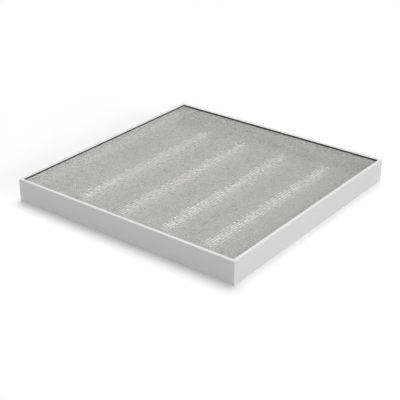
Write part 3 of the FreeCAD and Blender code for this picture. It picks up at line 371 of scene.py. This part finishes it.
def make_sheet():
    """The sheet: flat on top, with satin pyramids below that end in low clear ones."""
    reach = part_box("diffuser")[1].x / MM
    count = round(2 * reach / PRISM_PITCH)
    pitch = 2 * reach / count
    lines = [-reach + pitch * index for index in range(count + 1)]
    vertices = [(x, y, PRISM_BASE) for y in lines for x in lines]
    row = count + 1
    chance = random.Random(SHEET_SEED)
    facets, clear = [], []
    for j in range(count):
        for i in range(count):
            middle = ((lines[i] + lines[i + 1]) / 2, (lines[j] + lines[j + 1]) / 2)
            slope = [math.tan(chance.uniform(-TIP_TILT, TIP_TILT)) for _ in range(2)]
            tip, tip_side = [], chance.uniform(*TIP_SIDES)
            for side_x, side_y in ((-1, -1), (1, -1), (1, 1), (-1, 1)):
                x, y = side_x * tip_side / 2, side_y * tip_side / 2
                tip.append(len(vertices))
                vertices.append((middle[0] + x, middle[1] + y,
                                 PRISM_TIP + x * slope[0] + y * slope[1]))
            apex = len(vertices)
            vertices.append((*middle, PRISM_TIP - math.tan(TIP_SLOPE) * tip_side / 2))
            ring = (j * row + i, j * row + i + 1, (j + 1) * row + i + 1, (j + 1) * row + i)
            for k in range(4):
                following = (k + 1) % 4
                facets.append((ring[following], ring[k], tip[k], tip[following]))
                clear.append((tip[following], tip[k], apex))
    corners = [0, count, row * row - 1, row * count]
    flat = len(vertices)
    vertices += [(*vertices[corner][:2], SHEET_TOP) for corner in corners]
    clear.append((flat, flat + 1, flat + 2, flat + 3))
    edges = (range(row), range(count, row * row, row),
             range(row * row - 1, row * count - 1, -1), range(row * count, -1, -row))
    for side, edge in enumerate(edges):
        clear.append((*edge, flat + (side + 1) % 4, flat + side))
    sheet = new_piece("prismatic_sheet", vertices, clear + facets, MATERIALS["prismatic_acrylic"],
                      "housing", smooth_angle=None)
    sheet.data.materials.append(MATERIALS["satin_facet"])
    for face in sheet.data.polygons[len(clear):]:
        face.material_index = 1  # satin
    stand_for(sheet, "diffuser")


# Foam strips between lip and sheet: a gasket whose black also paints the shadow in the gap under
# the lip.

STRIP_ENDS = (-295.9, 290.6)
STRIP_MIDDLE = (-293.25, 51.5)
STRIP_HALF = (2.65, 1.5)
STRIP_SIDES = 20
STRIP_STATIONS = 150
STRIP_UNEVEN = 0.15
STRIP_SEED = 2


def make_strips():
    """Foam strips: rounded squares in section, whose inner edge is a little uneven; their black
    also paints the shadow in the gap under the lip.
    """
    chance = random.Random(STRIP_SEED)
    start, end = STRIP_ENDS
    for number, side in enumerate(SIDES):
        turn = Matrix.Rotation(math.radians(90 * number), 3, "Z")
        rings = []
        for station in range(STRIP_STATIONS + 1):
            x = start + (end - start) * station / STRIP_STATIONS
            shrink = chance.uniform(0, STRIP_UNEVEN)
            ring = []
            for direction in directions_round(STRIP_SIDES):
                across, up = [math.copysign(abs(part) ** 0.5, part) for part in direction]
                reach = STRIP_HALF[0] - (shrink if across > 0 else 0)
                ring.append(turn @ Vector((x, STRIP_MIDDLE[0] + across * reach,
                                           STRIP_MIDDLE[1] + up * STRIP_HALF[1])))
            rings.append(ring)
        first, last = [[sum(ring, Vector()) / STRIP_SIDES] for ring in (rings[0], rings[-1])]
        rings = [first, *rings, last]
        strip = new_piece("gasket_shade_strip_" + side, *skin(rings), MATERIALS["black_foam"], "housing")
        face_outward(strip)
        stand_for(strip, "gasket_" + side)


# Screws and rivets.

# radius and height of the head, radius of the shank
SCREW_SIZES = (2.6, 1.8, 1.45)
RIVET_SIZES = (2.6, 1.1, 1.5)
THREAD_PITCH = 0.8
THREAD_ROOT = 0.8  # share of the shank's radius
THREAD_CONE = 0.5
CROSS_ARM, CROSS_WIDTH = 0.6, 0.14  # shares of the head's radius
RIVET_SIDES = 24
SCREW_SEED = 3


def cross_outline(arm, width):
    """The outline of a cross recess, six points for each quarter turn."""
    between = (arm + width) / 2
    points = [(arm, -width), (arm, 0), (arm, width), (between, width), (width, width),
              (width, between)]
    return [Matrix.Rotation(math.pi / 2 * quarter, 2) @ Vector(point)
            for quarter in range(4) for point in points]


def screw_rings(length):
    """A pan-head screw with a cross recess, its head up and its seat at zero."""
    radius, height, shank = SCREW_SIZES
    cross = cross_outline(radius * CROSS_ARM, radius * CROSS_WIDTH)
    ways = [point.normalized() for point in cross]
    rings = [[(0, 0, -length)], circle(shank * 0.5, -length, ways)]
    level = THREAD_CONE - length
    while level < -THREAD_PITCH:
        rings += [circle(shank, level, ways),
                  circle(shank * THREAD_ROOT, level + THREAD_PITCH / 2, ways)]
        level += THREAD_PITCH
    rings += [circle(share * shank, 0, ways) for share in (0.9, 1.0)]
    for share, rise in ((0.95, 0), (1.0, 0.08), (1.0, 0.45), (0.95, 0.7), (0.86, 0.88),
                        (0.72, 1.0)):
        rings.append(circle(radius * share, height * rise, ways))
    rings += [[(*point, height) for point in cross],
              [(*(point * 0.75), height * 0.35) for point in cross], [(0, 0, height * 0.15)]]
    return rings


def rivet_rings(length):
    """A domed rivet, its head up and its seat at zero."""
    radius, height, shank = RIVET_SIZES
    ways = directions_round(RIVET_SIDES)
    rings = [[(0, 0, -length)], circle(shank * 0.6, -length, ways),
             circle(shank, 0.5 - length, ways), circle(shank, 0, ways)]
    for share, rise in ((0.97, 0), (1.0, 0.12), (0.98, 0.3), (0.88, 0.62), (0.7, 0.86),
                        (0.45, 0.98), (0.32, 1.0), (0.27, 0.7)):
        rings.append(circle(radius * share, height * rise, ways))
    return rings + [[(0, 0, height * 0.65)]]


def make_fasteners(node, shape, sizes, head_up=False):
    """Puts a turned fastener at each solid of a node, its head towards the back or up."""
    head_height = sizes[1]
    chance = random.Random(SCREW_SEED)
    places = []
    for low, high in solids_of(node):
        seat = high.z - head_height if head_up else low.z + head_height
        length = seat - low.z if head_up else high.z - seat
        place = Matrix.Translation(((low.x + high.x) / 2, (low.y + high.y) / 2, seat))
        if not head_up:
            place @= Matrix.Rotation(math.pi, 4, "X")
        places.append(place @ Matrix.Rotation(chance.uniform(0, math.pi / 2), 4, "Z"))
    mesh = skin(shape(length))
    piece = new_piece(node + "_turned", *repeated(*mesh, places), MATERIALS[SLOT_OF[node]],
                      "housing", smooth_angle=40)
    face_outward(piece)
    stand_for(piece, node)


# LED packages: a white frame round a phosphor window, with a terminal pad at each end.

# half length, half width, radius of the corners, level
PACKAGE_OUTLINES = ((1.55, 1.4, 0.15, 0), (1.55, 1.4, 0.15, 0.55), (1.45, 1.3, 0.2, 0.7),
                    (1.2, 1.05, 0.5, 0.7), (1.1, 0.95, 0.45, 0.6))
WINDOW_MIDDLE = 0.66
PAD_HALF = (0.25, 1.0, 0.05)
PAD_PLACE = 1.5
PAD_TOP = 0.14
WHITE, PHOSPHOR, COPPER = range(3)


def flat_outline(half_x, half_y, radius, level):
    """A rectangle with rounded corners."""
    corners = [(-half_x, -half_y, radius), (half_x, -half_y, radius), (half_x, half_y, radius),
               (-half_x, half_y, radius)]
    return [(*point, level) for point in round_outline(corners, steps=2)]


def make_packages(number):
    """The row of LED packages on one board."""
    node = "led_emitters_%d" % number
    rings = [flat_outline(*outline) for outline in PACKAGE_OUTLINES]
    window = len(rings[-1])
    vertices, faces = skin([[(0, 0, 0)], *rings, [(0, 0, WINDOW_MIDDLE)]])
    kinds = [WHITE] * (len(faces) - window) + [PHOSPHOR] * window
    for side in (-1, 1):
        rings = [flat_outline(*PAD_HALF, level) for level in (0, PAD_TOP)]
        rings = [[(0, 0, 0)], *rings, [(0, 0, PAD_TOP)]]
        rings = [[(x + side * PAD_PLACE, y, z) for x, y, z in ring] for ring in rings]
        more, more_faces = skin(rings)
        faces += [tuple(index + len(vertices) for index in face) for face in more_faces]
        vertices += more
        kinds += [COPPER] * len(more_faces)
    places = [Matrix.Translation(((low.x + high.x) / 2, (low.y + high.y) / 2, low.z))
              for low, high in solids_of(node)]
    piece = new_piece("led_packages_%d" % number, *repeated(vertices, faces, places),
                      MATERIALS["package_white"], "housing", smooth_angle=40)
    piece.data.materials.append(MATERIALS["led_phosphor"])
    piece.data.materials.append(MATERIALS["tinned_copper"])
    for face, kind in zip(piece.data.polygons, kinds * len(places)):
        face.material_index = kind
    face_outward(piece)
    stand_for(piece, node)


# Wire connectors of the boards.

BOARD_PLACES = (-176.55, -58.85, 58.85, 176.55)
CONNECTOR_FRONT = -231.0
CONNECTOR_BASE = 11.5
CONNECTOR_HALF = 7.0
CONNECTOR_TOP = 5.0
CONNECTOR_LINES = ((-CONNECTOR_HALF, -5.6, -2.8, 2.8, 5.6, CONNECTOR_HALF),
                   (0.0, 1.2, 3.6, 5.0, 7.2, 8.0), (0.0, 1.1, 3.9, CONNECTOR_TOP))
CONTACT = 4.2  # from the middle


def cell_box(lines_x, lines_y, lines_z):
    """A closed box whose faces are divided along the given lines."""
    work = bmesh.new()
    corner = {}
    ends = [(lines[0], lines[-1]) for lines in (lines_x, lines_y, lines_z)]
    for x in lines_x:
        for y in lines_y:
            for z in lines_z:
                if x in ends[0] or y in ends[1] or z in ends[2]:
                    corner[x, y, z] = work.verts.new((x, y, z))
    lines = (lines_x, lines_y, lines_z)
    for axis in range(3):
        first, second = [other for other in range(3) if other != axis]
        for level in ends[axis]:
            for a, b in zip(lines[first], lines[first][1:]):
                for c, d in zip(lines[second], lines[second][1:]):
                    face = []
                    for u, v in ((a, c), (b, c), (b, d), (a, d)):
                        place = [0, 0, 0]
                        place[axis], place[first], place[second] = level, u, v
                        face.append(corner[tuple(place)])
                    work.faces.new(face)
    bmesh.ops.recalc_face_normals(work, faces=work.faces)
    return work


def make_connectors():
    """Connectors with two ports in front, and above each a release slot and a test key."""
    work = cell_box(*CONNECTOR_LINES)
    ports, slots, keys = [], [], []
    for face in work.faces:
        middle = face.calc_center_median()
        if abs(abs(middle.x) - CONTACT) > 0.1:
            continue
        if face.normal.y < -0.9 and abs(middle.z - CONNECTOR_TOP / 2) < 0.1:
            ports.append(face)
        elif face.normal.z > 0.9 and 1.2 < middle.y < 3.6:
            slots.append(face)
        elif face.normal.z > 0.9 and 5.0 < middle.y < 7.2:
            keys.append(face)
    bmesh.ops.inset_individual(work, faces=ports, thickness=0.35, depth=-0.35)
    bmesh.ops.inset_individual(work, faces=ports, thickness=0.05, depth=-0.8)
    bmesh.ops.inset_individual(work, faces=slots, thickness=0.3, depth=0.0)
    bmesh.ops.inset_individual(work, faces=slots, thickness=0.05, depth=-0.9)
    bmesh.ops.inset_individual(work, faces=keys, thickness=0.25, depth=-0.25)
    outside = [edge for edge in work.edges if len(edge.link_faces) == 2
               and edge.calc_face_angle() > 1.0
               and all(abs(vertex.co.x) == CONNECTOR_HALF or vertex.co.z == CONNECTOR_TOP
                       for vertex in edge.verts)]
    bmesh.ops.bevel(work, geom=outside, offset=0.3, segments=2, affect="EDGES", profile=0.5)
    work.verts.index_update()
    vertices = [tuple(vertex.co) for vertex in work.verts]
    faces = [tuple(vertex.index for vertex in face.verts) for face in work.faces]
    work.free()
    places = [Matrix.Translation((x, CONNECTOR_FRONT, CONNECTOR_BASE)) for x in BOARD_PLACES]
    piece = new_piece("wire_connectors", *repeated(vertices, faces, places),
                      MATERIALS["white_nylon"], "housing")
    face_outward(piece)
    stand_for(piece, "board_connectors")


# Wires and leads.

CHANNEL_MIDDLE = -269.0
LEAD_LEVEL = 21.0
WIRE_LEVEL = 14.0
DRIVER_ENDS = (-150.35, 99.65)
POLE_PLACES = (-277.0, -269.0, -261.0)
TERMINAL_PORT = (138.65, 23.8)
PASSAGE = -179.35  # of the board leads through the channel's wall
SUPPLY_RADIUS = 1.2
LEAD_RADIUS = 0.7
EARTH_ROUTE = [(173.65, -261.0, 28.3), (165.0, -261.0, 28.3), (156.65, -261.0, 28.3)]


def make_wires(name, node, radius, routes):
    """Smooth wires, one for each route."""
    curve = bpy.data.curves.new(name, "CURVE")
    curve.dimensions = "3D"
    curve.bevel_depth = radius * MM
    curve.bevel_resolution = 3
    curve.resolution_u = 8
    curve.use_fill_caps = True
    for route in routes:
        spline = curve.splines.new("NURBS")
        spline.points.add(len(route) - 1)
        for point, place in zip(spline.points, route):
            point.co = (*(Vector(place) * MM), 1)
        spline.order_u = 3
        spline.use_endpoint_u = True
    curve.materials.append(MATERIALS[SLOT_OF[node]])
    piece = bpy.data.objects.new(name, curve)
    bpy.context.scene.collection.objects.link(piece)
    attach(piece, "housing")
    stand_for(piece, node)


def input_routes():
    """From the supply terminals to the driver."""
    start, (port, level) = DRIVER_ENDS[1], TERMINAL_PORT
    for offset, pole in zip((-5, 0, 5), POLE_PLACES):
        y = CHANNEL_MIDDLE + offset
        yield [(start, y, LEAD_LEVEL), (start + 9, y, LEAD_LEVEL), (port - 13, pole, level),
               (port - 4, pole, level), (port, pole, level)]


def output_routes():
    """From the driver through the channel's wall to the first board."""
    for side in (1.4, -1.4):
        x, y = PASSAGE + side, CHANNEL_MIDDLE + side
        yield [(DRIVER_ENDS[0], y, LEAD_LEVEL), (x + 9, y, LEAD_LEVEL), (x, y, LEAD_LEVEL),
               (x, y + 6, LEAD_LEVEL), (x, -246.0, LEAD_LEVEL), (x, -237.4, WIRE_LEVEL),
               (x, CONNECTOR_FRONT, WIRE_LEVEL)]


def jumper_routes():
    """From each board to the next."""
    for left, right in zip(BOARD_PLACES, BOARD_PLACES[1:]):
        for contact, depth in ((CONTACT, 7.0), (1.4, 9.5)):
            run = CONNECTOR_FRONT - depth
            yield [(left + contact, CONNECTOR_FRONT, WIRE_LEVEL), (left + contact, run, WIRE_LEVEL),
                   (left + contact + 9, run, WIRE_LEVEL), (right - contact - 9, run, WIRE_LEVEL),
                   (right - contact, run, WIRE_LEVEL),
                   (right - contact, CONNECTOR_FRONT, WIRE_LEVEL)]


# Grommets.

GROMMET_LIP = 2.0
GROMMET_RIM = 2.4  # past the hole
GROMMET_SLACK = 0.98  # keeps the round outline inside the sixteen flats of the solid
GROMMET_SIDES = 40
STEEL = 0.8  # the sheet that a grommet sits in
CABLE_ENTRY = (211.65, CHANNEL_MIDDLE, 9.7)
CABLE_HOLE, CABLE_BORE = 11.0, 5.0
LEAD_PASSAGE = (PASSAGE, -251.0, LEAD_LEVEL)
LEAD_HOLE, LEAD_BORE = 5.0, 2.4


def make_grommet(name, place, hole, bore):
    """A grommet with a rounded lip on each side of the sheet steel that it sits in."""
    rim, lip = (hole + GROMMET_RIM) * GROMMET_SLACK, GROMMET_LIP
    half = [(bore, 0.5), (bore + 0.15, 0.15), (bore + 0.5, 0), (rim - 1.1, 0), (rim - 0.45, 0.2),
            (rim - 0.1, 0.6), (rim, 1.1), (rim - 0.1, 1.7), (rim - 0.4, lip),
            (hole * GROMMET_SLACK, lip)]
    profile = [(radius, level - lip) for radius, level in half]
    profile += [(radius, STEEL + lip - level) for radius, level in reversed(half)]
    rings = [circle(radius, level, directions_round(GROMMET_SIDES)) for radius, level in profile]
    piece = new_piece(name + "_moulded", *repeated(*skin(rings, closed=True), [place]),
                      MATERIALS["black_rubber"], "housing")
    face_outward(piece)
    stand_for(piece, name)


# The pieces.

make_rails()
make_sheet()
make_strips()
for node in ("back_plate_screws", "corner_key_screws", "channel_screws", "driver_screws",
             "terminal_screw"):
    make_fasteners(node, screw_rings, SCREW_SIZES)
make_fasteners("board_rivets", rivet_rings, RIVET_SIZES, head_up=True)
for node in ("hanger_rivets", "hinge_rivets"):
    make_fasteners(node, rivet_rings, RIVET_SIZES)
for number in range(1, 5):
    make_packages(number)
make_connectors()
make_wires("supply_leads", "input_leads", SUPPLY_RADIUS, input_routes())
make_wires("board_leads", "output_leads", LEAD_RADIUS, output_routes())
make_wires("jumper_wires", "board_jumpers", LEAD_RADIUS, jumper_routes())
make_wires("earth_wire", "earth_lead", SUPPLY_RADIUS, [EARTH_ROUTE])
make_grommet("cable_grommet", Matrix.Translation(CABLE_ENTRY), CABLE_HOLE, CABLE_BORE)
make_grommet("lead_grommet", Matrix.Translation(LEAD_PASSAGE)
             @ Matrix.Rotation(-math.pi / 2, 4, "X"), LEAD_HOLE, LEAD_BORE)


# Floor, light and camera.

def make_floor():
    """The floor, clear from below and for shadow rays."""
    mesh = bpy.data.meshes.new("floor")
    corners = [(x * FLOOR_REACH, y * FLOOR_REACH, 0)
               for x, y in ((-1, -1), (1, -1), (1, 1), (-1, 1))]
    mesh.from_pydata(corners, [], [(0, 1, 2, 3)])
    floor = bpy.data.objects.new("floor", mesh)
    bpy.context.scene.collection.objects.link(floor)
    material = bpy.data.materials.new("floor")
    material.use_nodes = True
    nodes, links = material.node_tree.nodes, material.node_tree.links
    nodes.remove(nodes["Principled BSDF"])
    path = nodes.new("ShaderNodeLightPath")
    albedo = nodes.new("ShaderNodeMix")
    albedo.data_type = "RGBA"
    albedo.inputs["A"].default_value = (*(FLOOR_ALBEDO,) * 3, 1)
    albedo.inputs["B"].default_value = (*(FLOOR_SEEN,) * 3, 1)
    links.new(path.outputs["Is Camera Ray"], albedo.inputs["Factor"])
    matte = nodes.new("ShaderNodeBsdfDiffuse")
    links.new(albedo.outputs["Result"], matte.inputs["Color"])
    under = nodes.new("ShaderNodeNewGeometry")
    either = nodes.new("ShaderNodeMath")
    either.operation = "MAXIMUM"
    links.new(under.outputs["Backfacing"], either.inputs[0])
    links.new(path.outputs["Is Shadow Ray"], either.inputs[1])
    let_through(nodes, links, matte, either.outputs["Value"])
    mesh.materials.append(material)


def make_world():
    """A plain studio, white to the camera and dimmer as light on the object."""
    world = bpy.data.worlds.new("studio")
    bpy.context.scene.world = world
    world.use_nodes = True
    nodes, links = world.node_tree.nodes, world.node_tree.links
    background = nodes["Background"]
    background.inputs["Color"].default_value = (1, 1, 1, 1)
    path = nodes.new("ShaderNodeLightPath")
    strength = nodes.new("ShaderNodeMapRange")
    strength.inputs["To Min"].default_value = AMBIENT
    strength.inputs["To Max"].default_value = 1.0
    links.new(path.outputs["Is Camera Ray"], strength.inputs["Value"])
    links.new(strength.outputs["Result"], background.inputs["Strength"])


def add_sun(name, towards, strength, spread=0.0, mirrored=True):
    """A sun that shines from the direction given; its spread is in radians."""
    lamp = bpy.data.lights.new(name, "SUN")
    lamp.energy = strength
    lamp.angle = spread
    thing = bpy.data.objects.new(name, lamp)
    thing.visible_glossy = mirrored
    thing.rotation_mode = "QUATERNION"
    thing.rotation_quaternion = towards.normalized().to_track_quat("Z", "Y")
    bpy.context.scene.collection.objects.link(thing)


def make_camera():
    """The camera at the photograph's place, aimed at its target and slightly rolled."""
    data = bpy.data.cameras.new("camera")
    data.lens = CAMERA_LENS
    data.sensor_width = SENSOR
    data.clip_end = CAMERA_FAR
    camera = bpy.data.objects.new("camera", data)
    bpy.context.scene.collection.objects.link(camera)
    camera.location = CAMERA_PLACE
    camera.rotation_mode = "QUATERNION"
    aim = (CAMERA_TARGET - CAMERA_PLACE).to_track_quat("-Z", "Y")
    camera.rotation_quaternion = aim @ Matrix.Rotation(CAMERA_ROLL, 3, "Z").to_quaternion()
    bpy.context.scene.camera = camera


make_floor()
make_world()
for name, azimuth, elevation, spread, strength, mirrored in SUNS:
    around, above = math.radians(azimuth), math.radians(elevation)
    towards = Vector((math.cos(above) * math.cos(around), math.cos(above) * math.sin(around),
                      math.sin(above)))
    add_sun(name, towards, strength, math.radians(spread), mirrored)
add_sun("under", Vector((0, 0, -1)), UNDER_STRENGTH)
make_camera()
bpy.context.scene.view_settings.view_transform = "Standard"
